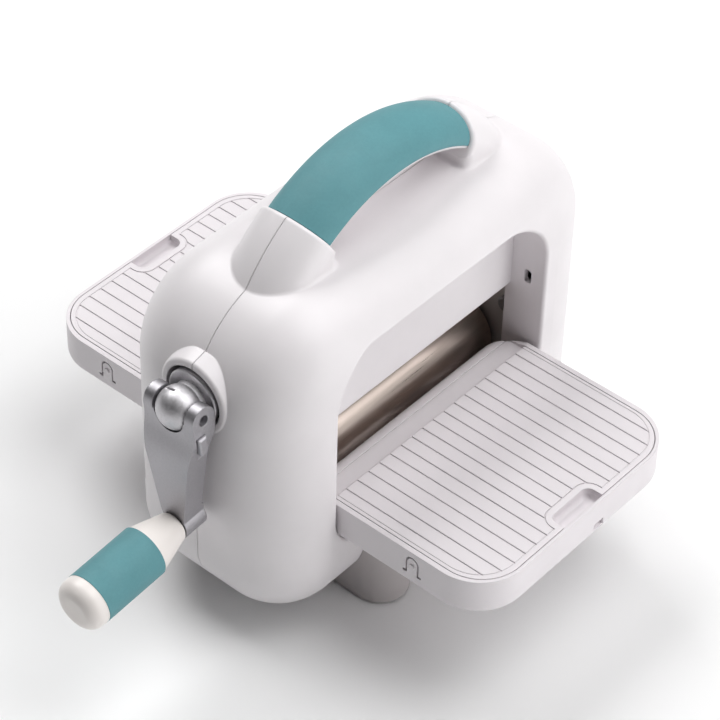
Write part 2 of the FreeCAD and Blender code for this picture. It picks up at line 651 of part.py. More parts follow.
def foot_shape():
    reach = v.foot_reach
    wire = outline(v.foot_half, -reach, reach, v.foot_half - 0.01, v.foot_half - 0.01)
    bar = plan_prism(wire, v.foot_base, v.tray_top - v.tray_thick - v.foot_gap)
    bar.translate(Vector(v.foot_centre, 0, 0))
    bar = bar.cut(block(0, far, -v.body_half_depth - 0.3, v.body_half_depth + 0.3,
                        v.body_bottom + v.bottom_corner, far))
    bar = bar.cut(rounded_body(-0.02))
    for end in (-1, 1):
        pad = pad_shape(end, v.seat_clear, v.foot_base - 1, v.pad_thick)
        bar = bar.cut(pad)
    for y in (-v.foot_screw_y, v.foot_screw_y):
        bar = bar.cut(pin_z(v.foot_screw_radius + v.seat_clear, v.foot_centre, y, 0, 20))
        bar = bar.cut(pin_z(v.foot_screw_radius + v.head_over + 0.2, v.foot_centre, y, 0,
                            v.foot_base + v.head_tall))
    return bar


def pad_shape(end, grow, z0, z1):
    half = v.foot_half - v.pad_inset + grow
    reach = v.foot_reach - v.pad_inset + grow
    wire = outline(half, -reach, -reach + v.pad_long + 2 * grow, half - 0.01, v.pad_inset)
    pad = plan_prism(wire, z0, z1)
    if end > 0:
        pad.rotate(Vector(), Vector(0, 0, 1), 180)
    pad.translate(Vector(v.foot_centre, 0, 0))
    return pad


right_foot = foot_shape()
left_foot = right_foot.mirror(Vector(), Vector(1, 0, 0))
node(feature("left_foot", left_foot), "left_foot")
node(feature("right_foot", right_foot), "right_foot")
pads = [pad_shape(end, 0, 0, v.pad_thick) for end in (-1, 1)]
pads += [pad.mirror(Vector(), Vector(1, 0, 0)) for pad in pads]
node(feature("pads", Part.makeCompound(pads)), "rubber_foot_pads")


def screw(radius, length, head_radius, tall):
    """A screw along Z with its head below zero."""
    shank = Part.makeCylinder(radius, length, Vector(), Vector(0, 0, 1))
    top = Part.makeCylinder(head_radius, tall, Vector(0, 0, -tall), Vector(0, 0, 1))
    top = top.makeChamfer(tall * 0.25, [top.Edges[2]])
    slot = block(-head_radius * 1.2, head_radius * 1.2, -head_radius * 0.14, head_radius * 0.14,
                 -tall - 1, -tall * 0.6)
    return shank.fuse(top).cut(slot).removeSplitter()


def moved(shape, x, y, z, rotation=None):
    copy = shape.copy()
    copy.Placement = Placement(Vector(x, y, z), rotation if rotation is not None else Rotation())
    return copy


foot_screw = screw(v.foot_screw_radius, v.foot_screw_long, v.foot_screw_radius + v.head_over, v.head_tall)
foot_screws = []
for x in (-v.foot_centre, v.foot_centre):
    for y in (-v.foot_screw_y, v.foot_screw_y):
        foot_screws.append(moved(foot_screw, x, y, v.foot_base + v.head_tall))
node(feature("foot_screws", Part.makeCompound(foot_screws)), "foot_screws")

TO_MINUS_Y = Rotation(Vector(1, 0, 0), 90)
TO_PLUS_X = Rotation(Vector(0, 1, 0), 90)
TO_MINUS_X = Rotation(Vector(0, 1, 0), -90)
shell_screw = screw(v.shell_screw_radius, v.shell_screw_seat + v.shell_screw_bite, head, v.head_tall)
shell_screws = [moved(shell_screw, x, v.shell_screw_seat, z, TO_MINUS_Y) for x, z in SHELL_SCREWS]
node(feature("shell_screws", Part.makeCompound(shell_screws)), "shell_screws")

# The chassis: two side plates held apart by tie rods.

TIES = [
    ("tie_high_place", "crank_axis + tie_high_rise"),
    ("-tie_high_place", "crank_axis + tie_high_rise"),
    ("tie_low_place", "tie_low_z"),
    ("-tie_low_place", "tie_low_z"),
]
POSTS = [
    ("post_y", "post_low_z"),
    ("-post_y", "post_low_z"),
    ("post_y", "post_high_z"),
    ("-post_y", "post_high_z"),
]


def side_plate(name, start, with_crank):
    slab = box(name + "_slab", "plate_thick", "2 * plate_half", "crank_axis + plate_head - plate_bottom",
               start, "-plate_half", "plate_bottom")
    doc.recompute()
    rounded = doc.addObject("Part::Fillet", name + "_rounded")
    rounded.Base = slab
    long_edges = []
    for i, edge in enumerate(slab.Shape.Edges, start=1):
        if abs(edge.BoundBox.XLength - v.plate_thick) < 1e-3 and edge.BoundBox.YLength < 1e-3:
            long_edges.append((i, v.plate_corner, v.plate_corner))
    rounded.Edges = long_edges
    tools = [
        rod(name + "_upper", "bush_radius + seat_clear", "plate_thick + 2", start + " - 1", "0", "upper_axis"),
        rod(name + "_lower", "bush_radius + seat_clear", "plate_thick + 2", start + " - 1", "0", "lower_axis"),
    ]
    if with_crank:
        tools.append(rod(name + "_crank", "crank_bush_radius + seat_clear", "plate_thick + 2",
                         start + " - 1", "0", "crank_axis"))
    for i, (y, z) in enumerate(TIES):
        tools.append(rod(name + "_tie%d" % i, "tie_screw_radius + seat_clear", "plate_thick + 2",
                         start + " - 1", y, z))
    for i, (y, z) in enumerate(POSTS):
        tools.append(rod(name + "_post%d" % i, "post_screw_radius + seat_clear", "plate_thick + 2",
                         start + " - 1", y, z))
    return cut(name, rounded, *tools)


node(side_plate("left_plate", "-plate_out", True), "left_side_plate")
node(side_plate("right_plate", "plate_in", False), "right_side_plate")

tie_tubes = []
for i, (y, z) in enumerate(TIES):
    solid = rod("tie_bar%d" % i, "tie_radius", "2 * plate_in", "-plate_in", y, z)
    bore = rod("tie_bore%d" % i, "tie_screw_radius + seat_clear", "2 * plate_in + 2", "-plate_in - 1", y, z)
    tie_tubes.append(cut("tie_rod%d" % i, solid, bore))
ties = doc.addObject("Part::Compound", "tie_rods")
ties.Links = tie_tubes
node(ties, "tie_rods")

tie_screw = screw(v.tie_screw_radius, v.tie_screw_long, v.tie_screw_radius + v.head_over, v.head_tall)
post_screw = screw(v.post_screw_radius, v.post_screw_long, v.post_screw_radius + v.head_over, v.head_tall)
tie_places = [
    (v.tie_high_place, v.crank_axis + v.tie_high_rise),
    (-v.tie_high_place, v.crank_axis + v.tie_high_rise),
    (v.tie_low_place, v.tie_low_z),
    (-v.tie_low_place, v.tie_low_z),
]
tie_screws = []
post_screws = []
for y, z in tie_places:
    tie_screws.append(moved(tie_screw, -v.plate_out, y, z, TO_PLUS_X))
    tie_screws.append(moved(tie_screw, v.plate_out, y, z, TO_MINUS_X))
for z in (v.post_low_z, v.post_high_z):
    for y in (-v.post_y, v.post_y):
        post_screws.append(moved(post_screw, -v.plate_in, y, z, TO_MINUS_X))
        post_screws.append(moved(post_screw, v.plate_in, y, z, TO_PLUS_X))
node(feature("tie_screws", Part.makeCompound(tie_screws)), "tie_rod_screws")
node(feature("post_screws", Part.makeCompound(post_screws)), "chassis_screws")

# Bushes: flanged on the inner side of the plates.
BUSH = [
    ("0", "journal_radius + running_clear"),
    ("bush_flange + plate_thick", "journal_radius + running_clear"),
    ("bush_flange + plate_thick", "bush_radius"),
    ("bush_flange", "bush_radius"),
    ("bush_flange", "bush_radius + bush_lip"),
    ("0", "bush_radius + bush_lip"),
]
bushes = []
for i, (side, z) in enumerate(((-1, "upper_axis"), (1, "upper_axis"), (-1, "lower_axis"), (1, "lower_axis"))):
    spin = Placement(Vector(), OUTWARD) if side < 0 else None
    sign = "-" if side < 0 else ""
    start = "%s(plate_in - bush_flange)" % sign
    bushes.append(turned("roller_bush%d" % i, BUSH, spin, (start, "0", z)))
bush_set = doc.addObject("Part::Compound", "roller_bushes")
bush_set.Links = bushes
node(bush_set, "roller_bushes")
CRANK_BUSH = [
    ("0", "crank_shaft_radius + running_clear"),
    ("bush_flange + plate_thick", "crank_shaft_radius + running_clear"),
    ("bush_flange + plate_thick", "crank_bush_radius"),
    ("bush_flange", "crank_bush_radius"),
    ("bush_flange", "crank_bush_radius + bush_lip"),
    ("0", "crank_bush_radius + bush_lip"),
]
crank_bush = turned("crank_bush", CRANK_BUSH, Placement(Vector(), OUTWARD),
                    ("-(plate_in - bush_flange)", "0", "crank_axis"))
node(crank_bush, "crank_bush")

# Rollers: a ground face, journals in the bushes, gear seats and clip grooves outside them.


def roller_profile(left_end, right_end):
    """Corners along the roller from the left end, measured from the left end."""
    lead = "(%s)" % left_end
    return [
        ("0", "0"),
        (lead + " + (%s)" % right_end, "0"),
        (lead + " + (%s)" % right_end, "gear_bore_flat"),
        (lead + " + plate_out + gear_room / 2", "gear_bore_flat"),
        (lead + " + plate_out + gear_room / 2", "journal_radius"),
        (lead + " + roller_half", "journal_radius"),
        (lead + " + roller_half", "roller_radius"),
        (lead + " - roller_half", "roller_radius"),
        (lead + " - roller_half", "journal_radius"),
        (lead + " - plate_out - gear_room / 2", "journal_radius"),
        (lead + " - plate_out - gear_room / 2", "gear_bore_flat"),
        ("0", "gear_bore_flat"),
    ]


GEARED = "gear_end + clip_thick + 1"
PLAIN = "gear_start + clip_thick + 1"
upper = turned("upper_roller", roller_profile(GEARED, GEARED), None, ("-(" + GEARED + ")", "0", "upper_axis"))
lower = turned("lower_roller", roller_profile(PLAIN, GEARED), None, ("-(" + PLAIN + ")", "0", "lower_axis"))
node(upper, "upper_roller")
node(lower, "lower_roller")


def clip(x, z):
    """An open spring clip seated on a shaft end."""
    outer = pin_x(v.gear_bore_flat + v.clip_rise, 0, z, x, x + v.clip_thick)
    outer = outer.cut(pin_x(v.gear_bore_flat + v.seat_clear, 0, z, x - 1, x + v.clip_thick + 1))
    mouth = block(x - 1, x + v.clip_thick + 1, -1.5, 1.5, z, z + v.gear_bore_flat + v.clip_rise + 1)
    return outer.cut(mouth)


upper_clips = [clip(v.gear_end, v.upper_axis), clip(-v.gear_end - v.clip_thick, v.upper_axis)]
lower_clips = [clip(v.gear_end, v.lower_axis), clip(-v.gear_start - v.clip_thick, v.lower_axis)]
node(feature("upper_clips", Part.makeCompound(upper_clips)), "upper_roller_clips")
node(feature("lower_clips", Part.makeCompound(lower_clips)), "lower_roller_clips")


def involute(base, radius):
    """The angle by which an involute from a base circle has turned at a radius."""
    if radius <= base:
        return 0.0
    t = math.sqrt((radius / base) ** 2 - 1)
    return t - math.atan(t)


def gear(teeth, module, bore, start, z, tooth_up):
    """A spur gear whose teeth or gaps stand on the vertical line through its axis."""
    pitch = module * teeth / 2
    base = pitch * math.cos(math.radians(20))
    tip = pitch + 0.9 * module
    root = pitch - 1.25 * module
    half = math.pi / (2 * teeth) - v.backlash / (2 * pitch) + involute(base, pitch)
    radii = [max(base, root) + (tip - max(base, root)) * k / 4 for k in range(5)]
    points = []
    for tooth in range(teeth):
        middle = math.pi / 2 + 2 * math.pi * (tooth + (0 if tooth_up else 0.5)) / teeth
        side = [(radius, half - involute(base, radius)) for radius in radii]
        side.insert(0, (root, side[0][1] + 0.004))
        for radius, angle in side:
            points.append((radius, middle - angle))
        for radius, angle in reversed(side):
            points.append((radius, middle + angle))
    corners = [Vector(start, rad * math.cos(a), z + rad * math.sin(a)) for rad, a in points]
    corners.append(corners[0])
    face = Part.Face(Part.makePolygon(corners))
    solid = face.extrude(Vector(v.gear_face, 0, 0))
    return solid.cut(pin_x(bore, 0, z, start - 1, start + v.gear_face + 1))


PINION_TEETH = 12
DRIVE_TEETH = 20
TIMING_TEETH = 30
drive_module = 2 * v.crank_rise / (PINION_TEETH + DRIVE_TEETH)
timing_module = (v.upper_axis - v.lower_axis) / TIMING_TEETH
bore = v.gear_bore_flat + v.seat_clear
pinion_bore = v.crank_shaft_radius + v.seat_clear
drive = gear(DRIVE_TEETH, drive_module, bore, -v.gear_end, v.upper_axis, False)
pinion = gear(PINION_TEETH, drive_module, pinion_bore, -v.gear_end, v.crank_axis, True)
top_timing = gear(TIMING_TEETH, timing_module, bore, v.gear_start, v.upper_axis, True)
low_timing = gear(TIMING_TEETH, timing_module, bore, v.gear_start, v.lower_axis, False)
node(feature("drive_gear", drive), "roller_drive_gear")
node(feature("crank_pinion", pinion), "crank_pinion")
node(feature("upper_timing", top_timing), "upper_timing_gear")
node(feature("lower_timing", low_timing), "lower_timing_gear")

# The crank: a shaft through the left plate, and a hub with flange, neck and ball outside.
SHAFT_IN = "plate_in - bush_flange - clip_thick - 2"
SHAFT_OUT = "flange_place - flange_thick"
crank_shaft = turned("crank_shaft", [
    (SHAFT_IN, "0"),
    (SHAFT_OUT, "0"),
    (SHAFT_OUT, "crank_shaft_radius"),
    (SHAFT_IN, "crank_shaft_radius"),
], crank_out)
node(crank_shaft, "crank_shaft")
clip_x = -(v.plate_in - v.bush_flange) + 0.3
clip_ring = pin_x(v.crank_shaft_radius + v.clip_rise, 0, v.crank_axis, clip_x, clip_x + v.clip_thick)
clip_ring = clip_ring.cut(pin_x(v.crank_shaft_radius + v.seat_clear, 0, v.crank_axis, clip_x - 1,
                                clip_x + v.clip_thick + 1))
clip_ring = clip_ring.cut(block(clip_x - 1, clip_x + v.clip_thick + 1, -1.5, 1.5, v.crank_axis,
                                v.crank_axis + v.crank_shaft_radius + v.clip_rise + 1))
node(feature("crank_clip", clip_ring), "crank_shaft_clip")


def hub_shape():
    disc = pin_x(v.flange_radius, 0, 0, -v.flange_place, -v.flange_place + v.flange_thick)
    rim = [e for e in disc.Edges if abs(e.BoundBox.XMin + v.flange_place) < 1e-6
           and e.BoundBox.XLength < 1e-6]
    disc = disc.makeChamfer(0.5, rim)
    root = -v.flange_place + v.flange_thick / 4
    neck = pin_x(v.neck_radius, 0, 0, -v.ball_place, root)
    ball = Part.makeSphere(v.ball_radius, Vector(-v.ball_place, 0, 0))
    ball = ball.common(block(-far, root, -v.ball_flat, v.ball_flat, -far, far))
    hub = disc.fuse([neck, ball]).removeSplitter()
    middle = -v.ball_place - v.slit_back
    slit = block(middle - v.slit_wide / 2, middle + v.slit_wide / 2, 0, far, v.ball_radius - v.slit_deep, far)
    return hub.cut(slit).cut(pin_y(v.pivot_radius + v.seat_clear, -v.ball_place, 0, -20, 20))


node(feature("crank_hub", hub_shape(), crank_place), "crank_hub")
pivot_end = v.fork_half - v.pivot_sink
pivot = pin_y(v.pivot_radius, -v.ball_place, 0, -pivot_end, pivot_end)
node(feature("fork_pin", pivot, crank_place), "fork_pin")

# The crank arm: a fork round the ball that narrows to the handle's seat.


def arm_shape():
    k = v.knuckle_radius
    foot = v.arm_length + v.arm_end_radius
    heel = v.arm_length - v.arm_end_radius
    half_drop = v.shoulder_drop / 2
    outer = Part.BezierCurve()
    outer.setPoles([Vector(-k, 0, 0), Vector(-k, 0, -half_drop),
                    Vector(-v.arm_shoulder + 0.5, 0, -half_drop),
                    Vector(-v.arm_shoulder, 0, -v.shoulder_drop)])
    inner = Part.BezierCurve()
    inner.setPoles([Vector(-v.arm_neck, 0, -v.shoulder_drop), Vector(-v.arm_neck + 0.5, 0, -half_drop),
                    Vector(k, 0, -half_drop), Vector(k, 0, 0)])
    corners = [
        Vector(-v.arm_shoulder, 0, -v.shoulder_drop),
        Vector(-v.arm_face, 0, -heel),
        Vector(-v.arm_face, 0, -foot),
        Vector(-v.arm_inner, 0, -foot),
        Vector(-v.arm_inner, 0, -heel),
        Vector(-v.arm_back, 0, -heel),
        Vector(-v.arm_neck, 0, -v.shoulder_drop),
    ]
    edges = [outer.toShape()]
    for start, end in zip(corners[:-1], corners[1:]):
        edges.append(Part.LineSegment(start, end).toShape())
    edges.append(inner.toShape())
    edges.append(Part.LineSegment(Vector(k, 0, 0), Vector(-k, 0, 0)).toShape())
    side = Part.Wire(edges)
    slab = Part.Face(side).extrude(Vector(0, 2 * v.fork_half, 0))
    slab.translate(Vector(0, -v.fork_half, 0))
    slab = slab.fuse(pin_y(k, 0, 0, -v.fork_half, v.fork_half))
    half = v.fork_half
    waist = v.arm_foot_half
    drop = v.arm_length
    front = Part.makePolygon([
        Vector(-20, -half, 12),
        Vector(-20, half, 12),
        Vector(-20, half, -9),
        Vector(-20, waist, -drop + 3),
        Vector(-20, waist, -drop),
        Vector(-20, -waist, -drop),
        Vector(-20, -waist, -drop + 3),
        Vector(-20, -half, -9),
        Vector(-20, -half, 12),
    ])
    shadow = Part.Face(front).extrude(Vector(40, 0, 0))
    shadow = shadow.fuse(pin_x(v.arm_end_radius, 0, -drop, -20, 20))
    arm = slab.common(shadow)
    between = block(-30, 30, -v.fork_gap, v.fork_gap, -30, 30)
    socket = Part.makeSphere(v.fork_round).fuse(pin_x(v.neck_radius + v.neck_clear, 0, 0, 0, 20))
    arm = arm.cut(block(-20, 20, -v.fork_gap, v.fork_gap, 0, 20)).cut(socket.common(between))
    arm = arm.cut(pin_y(v.pivot_radius + v.running_clear, 0, 0, -20, 20))
    arm = arm.cut(pin_x(v.spindle_radius + v.seat_clear, 0, -drop, -20, 20))
    slot_low = v.lock_start + v.lock_tall + v.lock_travel + v.lock_clear
    middle = -v.lock_shift
    slot = block(middle - v.lock_wide / 2 - v.lock_clear, middle + v.lock_wide / 2 + v.lock_clear, -20,
                 -v.fork_half + v.lock_sink, -slot_low, -v.lock_start + v.lock_clear)
    return arm.cut(slot).removeSplitter()


node(feature("crank_arm", arm_shape(), arm_place), "crank_arm")
lock_out = v.fork_half + v.lock_proud
lock = block(-v.lock_shift - v.lock_wide / 2, -v.lock_shift + v.lock_wide / 2,
             -lock_out, -v.fork_half + v.lock_sink - v.lock_clear,
             -v.lock_start - v.lock_tall, -v.lock_start)
lock_rims = [e for e in lock.Edges if abs(e.CenterOfMass.y + lock_out) < 1e-6]
lock = lock.makeChamfer(0.6, lock_rims)
node(feature("fold_lock", lock, arm_place), "fold_lock_slide")

# The crank handle turns on a spindle that is fixed in the arm's end.
spindle = turned("spindle", [
    ("arm_inner + 0.3", "0"),
    ("sleeve_end + 0.4", "0"),
    ("sleeve_end + 0.4", "spindle_radius"),
    ("arm_inner + 0.3", "spindle_radius"),
], grip_place)
node(spindle, "handle_spindle")
keeper = turned("keeper", [
    ("sleeve_end + 0.4", "0"),
    ("sleeve_end + 0.4 + head_tall", "0"),
    ("sleeve_end + 0.4 + head_tall", "spindle_radius + head_over - 0.6"),
    ("sleeve_end + head_tall - 0.2", "spindle_radius + head_over"),
    ("sleeve_end + 0.4", "spindle_radius + head_over"),
], grip_place)
node(keeper, "handle_keeper_screw")
cone = turned("cone", [
    ("grip_start", "spindle_radius + spindle_clear"),
    ("sleeve_end", "spindle_radius + spindle_clear"),
    ("sleeve_end", "grip_radius - sleeve_wall"),
    ("cone_end", "grip_radius - sleeve_wall"),
    ("cone_end", "grip_radius - 0.2"),
    ("grip_start + 0.6", "cone_radius"),
    ("grip_start", "cone_radius - 0.6"),
], grip_place)
node(cone, "handle_cone")
sleeve = turned("sleeve", [
    ("cone_end", "grip_radius - sleeve_wall + seat_clear"),
    ("sleeve_end", "grip_radius - sleeve_wall + seat_clear"),
    ("sleeve_end", "grip_radius"),
    ("cone_end", "grip_radius"),
], grip_place)
node(sleeve, "handle_sleeve")


def cap_shape():
    length = v.cap_end - v.sleeve_end
    cap = Part.makeCylinder(v.grip_radius - 0.1, length, Vector(v.sleeve_end, 0, 0), Vector(1, 0, 0))
    rim = [e for e in cap.Edges if abs(e.BoundBox.XMin - v.cap_end) < 1e-6 and e.BoundBox.XLength < 1e-6]
    cap = cap.makeFillet(v.cap_round, rim)
    room = Part.makeCylinder(v.spindle_radius + v.head_over + 0.6, v.head_tall + 1.0,
                             Vector(v.sleeve_end, 0, 0), Vector(1, 0, 0))
    return cap.cut(room)


node(feature("cap", cap_shape(), grip_place), "handle_end_cap")

# The trays: a hollow tub with a lid let into its rim; the rear one is the front one turned round.


def tray_tub():
    half = v.tray_width / 2
    low = v.tray_top - v.tray_thick
    outer = plan_prism(outline(half, -v.tray_outer, -v.tray_inner, v.tray_outer_corner, v.tray_inner_corner),
                       low, v.tray_top)
    floor_rim = [e for e in outer.Edges if abs(e.BoundBox.ZMax - low) < 1e-6]
    outer = outer.makeFillet(v.tray_edge, floor_rim)
    wall = v.tray_wall
    seat = plan_prism(outline(half - wall, -v.tray_outer + v.tray_end_wall, -v.lid_inner,
                              v.tray_outer_corner - wall, 0.5),
                      v.tray_top - v.lid_thick, v.tray_top + 1)
    inset = wall + v.ledge
    room = plan_prism(outline(half - inset, -v.tray_outer + inset, -v.lid_inner - v.ledge,
                              v.tray_outer_corner - inset, 4.0), low + v.tray_floor, v.tray_top + 1)
    pocket_end = -v.tray_outer + v.tray_end_wall + v.pocket_long
    pocket = plan_prism(outline(v.pocket_wide / 2 + wall, -v.tray_outer, pocket_end + wall,
                                0.5, v.pocket_corner + wall), low, v.tray_top - v.lid_thick)
    room = room.cut(pocket)
    floor = v.tray_top - v.pocket_deep
    scoop = plan_prism(outline(v.pocket_wide / 2, -v.tray_outer + v.tray_end_wall, pocket_end,
                               v.pocket_round + 0.5, v.pocket_corner), floor, v.tray_top + 1)
    scoop = scoop.makeFillet(v.pocket_round, [e for e in scoop.Edges if abs(e.BoundBox.ZMax - floor) < 1e-6])
    drop = v.tray_top - v.band_drop
    band = block(-half + wall, half - wall, -v.lid_inner - 1, -v.tray_inner + 5, drop, v.tray_top + 1)
    tub = outer.cut(seat).cut(room).cut(band).cut(scoop)
    slope = Part.makePolygon([
        Vector(-half - 1, -v.lid_inner, v.tray_top),
        Vector(-half - 1, -v.lip_line, drop),
        Vector(-half - 1, 0, drop),
        Vector(-half - 1, 0, v.tray_top + 1),
        Vector(-half - 1, -v.lid_inner, v.tray_top + 1),
        Vector(-half - 1, -v.lid_inner, v.tray_top),
    ])
    tub = tub.cut(Part.Face(slope).extrude(Vector(2 * half + 2, 0, 0)))
    notch_top = v.tray_top - v.notch_drop
    notch = block(v.notch_place - v.notch_wide / 2, v.notch_place + v.notch_wide / 2, -v.tray_outer - 1,
                  -v.tray_outer + v.notch_deep, notch_top - v.notch_tall, notch_top)
    tub = tub.cut(notch)
    lip = v.tray_lip_round
    corner = block(-half - 1, half + 1, -v.tray_inner - lip, -v.tray_inner + 1, drop - lip, v.tray_top + 1)
    tub = tub.cut(corner.cut(pin_x(lip, -v.tray_inner - lip, drop - lip, -half - 2, half + 2)))
    line = block(-half + wall, half - wall, -v.lip_line - 0.25, -v.lip_line + 0.25, drop - 0.4, drop + 1)
    tub = tub.cut(line)
    pin_hole = v.hinge_pin_radius + v.seat_clear
    for end in (-1, 1):
        x0, x1 = sorted((end * (half - v.hinge_pin_seat), end * (half + 1)))
        tub = tub.cut(pin_x(pin_hole, -v.hinge_y, v.hinge_z, x0, x1))
        x0, x1 = sorted((end * (half - inset - 1), end * (half + 1)))
        tub = tub.cut(tab_slot(x0, x1))
        x0, x1 = sorted((end * (half - 0.5), end * (half + v.tab_bead)))
        bead_z = v.tray_top - v.tab_drop + v.tab_tall * 0.55
        tub = tub.fuse(pin_x(v.tab_half * 0.5, -v.tab_reach, bead_z, x0, x1))
    return tub


def arched(half, root, tall, x0, x1):
    """An upright tongue with a round top, at the snap tab's place."""
    y = -v.tab_reach
    straight = block(x0, x1, y - half, y + half, root, root + tall - half)
    return straight.fuse(pin_x(half, y, root + tall - half, x0, x1))


def tab_slot(x0, x1):
    root = v.tray_top - v.tab_drop
    outer = arched(v.tab_half + v.tab_slot, root, v.tab_tall + v.tab_slot, x0, x1)
    tongue = arched(v.tab_half, root - 1, v.tab_tall + 1, x0 - 1, x1 + 1)
    slot = outer.cut(tongue)
    for end in (-1, 1):
        y0, y1 = sorted((end * v.tab_half, end * (v.tab_half + v.tab_slot + v.tab_serif)))
        slot = slot.fuse(block(x0, x1, -v.tab_reach + y0, -v.tab_reach + y1, root, root + v.tab_slot * 1.4))
    return slot


def tray_lid():
    half = v.tray_width / 2
    edge = v.tray_wall + v.lid_gap
    low = v.tray_top - v.lid_thick
    lid = plan_prism(outline(half - edge, -v.tray_outer + v.tray_end_wall + v.lid_gap, -v.lid_inner - 0.2,
                             v.tray_outer_corner - edge, 0.8), low, v.tray_top)
    pocket_end = -v.tray_outer + v.tray_end_wall + v.pocket_long
    notch = plan_prism(outline(v.pocket_wide / 2, -v.tray_outer, pocket_end,
                               0.5, v.pocket_corner), low - 1, v.tray_top + 1)
    lid = lid.cut(notch)
    margin = v.groove_margin
    border = plan_prism(outline(half - margin, -v.tray_outer + margin, -v.lid_inner + 20,
                                v.tray_outer_corner - margin, 0.5), v.tray_top - v.groove_deep, v.tray_top + 1)
    wide = v.groove_wide
    count = int(round(v.groove_half_count))
    grooves = []
    for i in range(-count, count + 1):
        x = i * v.groove_pitch
        grooves.append(block(x - wide / 2, x + wide / 2, -v.tray_outer, 0, v.tray_top - v.groove_deep,
                             v.tray_top + 1))
    ridge = v.ridge_wide
    keep = plan_prism(outline(v.pocket_wide / 2 + ridge, -v.tray_outer, pocket_end + ridge, 0.5,
                              v.pocket_corner + ridge), v.tray_top - v.groove_deep - 1, v.tray_top + 2)
    lines = Part.makeCompound(grooves).common(border).cut(keep)
    inside = ridge - wide * 0.6
    core = plan_prism(outline(v.pocket_wide / 2 + inside, -v.tray_outer - 1, pocket_end + inside, 0.5,
                              v.pocket_corner + inside), v.tray_top - 5, v.tray_top + 5)
    frame = keep.cut(core)
    inner = margin + v.border_wide
    shallow = plan_prism(outline(half - margin, -v.tray_outer + margin, -v.lid_inner + 20,
                                 v.tray_outer_corner - margin, 0.5), v.tray_top - v.border_deep, v.tray_top + 1)
    shallow = shallow.cut(plan_prism(outline(half - inner, -v.tray_outer + inner, -v.lid_inner + 30,
                                             v.tray_outer_corner - inner, 0.5), v.tray_top - 5, v.tray_top + 5))
    return lid.cut(lines).cut(frame.common(border)).cut(shallow.cut(keep))


def tray_pins():
    half = v.tray_width / 2
    pins = []
    for end in (-1, 1):
        x0, x1 = sorted((end * (half - v.hinge_pin_seat), end * (v.window_half + v.liner)))
        pins.append(pin_x(v.hinge_pin_radius, -v.hinge_y, v.hinge_z, x0, x1))
    return Part.makeCompound(pins)


HALF_TURN = Placement(Vector(), Rotation(Vector(0, 0, 1), 180))
tub = tray_tub()
lid = tray_lid()
pins = tray_pins()
for side, turn in (("front", Placement()), ("rear", HALF_TURN)):
    node(feature(side + "_tub", tub.copy(), turn), side + "_tray_tub")
    node(feature(side + "_lid", lid.copy(), turn), side + "_tray_lid")
    node(feature(side + "_pins", pins.copy(), turn), side + "_tray_hinge_pins")

doc.recompute()
bad = [obj.Label for obj in doc.Objects if "Invalid" in obj.State or "Error" in obj.State]
for obj in NODES:
    if obj.Shape.isNull() or not obj.Shape.isValid() or not obj.Shape.Solids:
        bad.append(obj.Label)
if bad:
    raise RuntimeError("failed pieces: " + ", ".join(bad))
os.makedirs("parts", exist_ok=True)
for obj in NODES:
    obj.Shape.exportStep(os.path.join("parts", obj.Label + ".step"))
    print(obj.Label, len(obj.Shape.Solids), round(obj.Shape.Volume / 1000, 2))
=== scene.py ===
import json
import math
import bpy
from mathutils import Matrix, Vector

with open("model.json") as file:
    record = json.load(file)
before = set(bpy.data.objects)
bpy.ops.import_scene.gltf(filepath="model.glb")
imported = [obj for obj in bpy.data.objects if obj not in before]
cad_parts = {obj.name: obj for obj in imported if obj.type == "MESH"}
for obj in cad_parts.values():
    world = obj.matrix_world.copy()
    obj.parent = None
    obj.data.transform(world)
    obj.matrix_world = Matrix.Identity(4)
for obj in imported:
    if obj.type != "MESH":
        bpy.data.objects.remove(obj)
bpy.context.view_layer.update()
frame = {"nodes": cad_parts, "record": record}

nodes = frame["nodes"]
scene = bpy.context.scene

# Camera, fitted to the photograph's edges: lengths in millimetres, angles in degrees
MM = 0.001
CAMERA_BACK = (-0.5646, -0.4719, 0.6772)
CAMERA_TARGET = (6.84, 4.34, 64.0)
CAMERA_DISTANCE = 1143.7
CAMERA_AZIMUTH = -50.112
CAMERA_ROLL = 1.655
SENSOR_WIDTH = 36.0
FOCAL_LENGTH = 143.62

# Studio, in metres and watts
CLIP_NEAR = 0.01
CLIP_FAR = 100.0
FLOOR_HALF = 60.0
GLOW_START = 0.40
GLOW_FULL = 2.40
GLOW_MOST = 0.90
SKY_STRENGTH = 0.03
LAMP_AIM = (0.0, 0.0, 0.07)
LAMP_SIZE = 1.0
LAMPS = [
    ("front", (0.30, -1.50, 0.50), 7.4),
    ("high", (0.45, -0.95, 1.30), 8.8),
    ("top", (0.40, -0.35, 1.70), 11.6),
    ("back", (0.25, 1.00, 1.40), 20.0),
]
WHITE = (1.0, 1.0, 1.0)
OFF_WHITE = (0.94, 0.94, 0.94)

